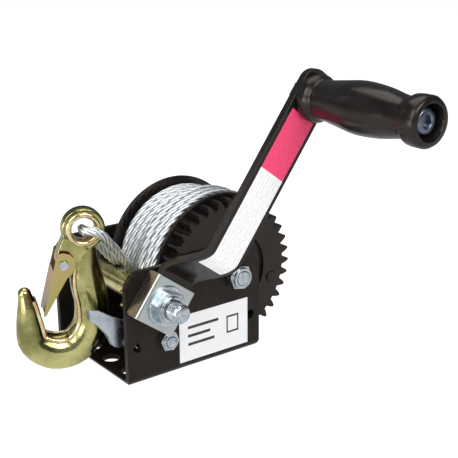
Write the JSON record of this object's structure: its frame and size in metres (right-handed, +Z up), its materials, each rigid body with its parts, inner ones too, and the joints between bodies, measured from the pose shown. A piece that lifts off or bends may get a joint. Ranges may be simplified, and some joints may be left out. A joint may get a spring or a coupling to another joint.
{
  "type": "boat trailer winch",
  "caption": "Hand winch with a geared wire rope drum in a bent steel frame, a cranked handle, a ratchet pawl and a latched hook on a rope loop.",
  "frame": {"origin": "centre of the underside of the frame's base, which bolts to the trailer", "axes": "+X runs back from the rope and hook side to the drum side, +Y runs from the crank side to the far side along the drum axle, +Z is up from the base"},
  "size_m": [0.1572, 0.1986, 0.1638],
  "materials": {
    "black_paint": "satin black electro-coat",
    "bright_zinc": "bright zinc plate, soft gloss",
    "plain_steel": "plain steel, semi-gloss",
    "yellow_zinc": "yellow passivated zinc plate, iridescent gloss",
    "wire_rope": "galvanised stranded steel wire",
    "ferrule_metal": "pressed aluminium",
    "bush_plastic": "matt engineering plastic",
    "grip_plastic": "moulded black plastic, satin",
    "label_film": "printed film label"
  },
  "bodies": {
    "root": {"frame": "black_paint", "axle_bolt": "bright_zinc", "axle_sleeve": "plain_steel", "axle_nut": "bright_zinc", "near_shaft_bush": "bush_plastic", "far_shaft_bush": "bush_plastic", "pawl_bolt": "bright_zinc", "pawl_nut": "bright_zinc", "pawl_spacer": "plain_steel", "pawl_spring": "plain_steel", "side_label": "label_film", "rope_loop": "wire_rope", "rope_ferrule": "ferrule_metal"},
    "drum": {"drum_tube": "black_paint", "near_flange": "black_paint", "far_flange": "black_paint", "drum_gear": "black_paint", "drum_bushes": "bush_plastic", "gear_rivets": "black_paint", "rope_on_drum": "wire_rope", "rope_clamp": "bright_zinc"},
    "crank": {"drive_shaft": "yellow_zinc", "pinion": "yellow_zinc", "shaft_clip": "plain_steel", "crank_spacer": "bright_zinc", "crank_arm": "black_paint", "crank_bracket": "bright_zinc", "crank_washer": "bright_zinc", "crank_nut": "bright_zinc", "grip_bolt": "bright_zinc", "grip_nut": "bright_zinc", "arm_label": "label_film"},
    "grip_body": {"grip": "grip_plastic"},
    "pawl_body": {"pawl": "bright_zinc"},
    "hook_body": {"hook": "yellow_zinc", "latch_pin": "bright_zinc", "latch_spring": "plain_steel"},
    "latch_body": {"hook_latch": "yellow_zinc"}
  },
  "joints": [
    {"name": "drum_spin", "type": "hinge", "parent": "root", "child": "drum", "pos_m": [0.02684, 0, 0.048], "axis": [0, 1, 0], "continuous": true},
    {"name": "crank_spin", "type": "hinge", "parent": "root", "child": "crank", "pos_m": [-0.026, 0, 0.046], "axis": [0, 1, 0], "continuous": true},
    {"name": "grip_spin", "type": "hinge", "parent": "crank", "child": "grip_body", "pos_m": [0.05109, -0.11, 0.14943], "axis": [0, 1, 0], "continuous": true},
    {"name": "pawl_lift", "type": "hinge", "parent": "root", "child": "pawl_body", "pos_m": [-0.0192, -0.0305, 0.0215], "axis": [0, -1, 0], "range_deg": [0, 25], "stiffness_Nm_per_rad": 0.05, "springref_deg": -20.05},
    {"name": "hook_swing", "type": "hinge", "parent": "root", "child": "hook_body", "pos_m": [-0.0502, -0.0089, 0.0832], "axis": [0.342, 0.9397, 0], "range_deg": [0, 35]},
    {"name": "latch_open", "type": "hinge", "parent": "hook_body", "child": "latch_body", "pos_m": [-0.06129, -0.00486, 0.0661], "axis": [-0.342, -0.9397, 0], "range_deg": [0, 22], "stiffness_Nm_per_rad": 0.01, "springref_deg": -34.38}
  ],
  "couplings": [
    {"joint": "crank_spin", "follows": "drum_spin", "ratio": -3.2727}
  ]
}
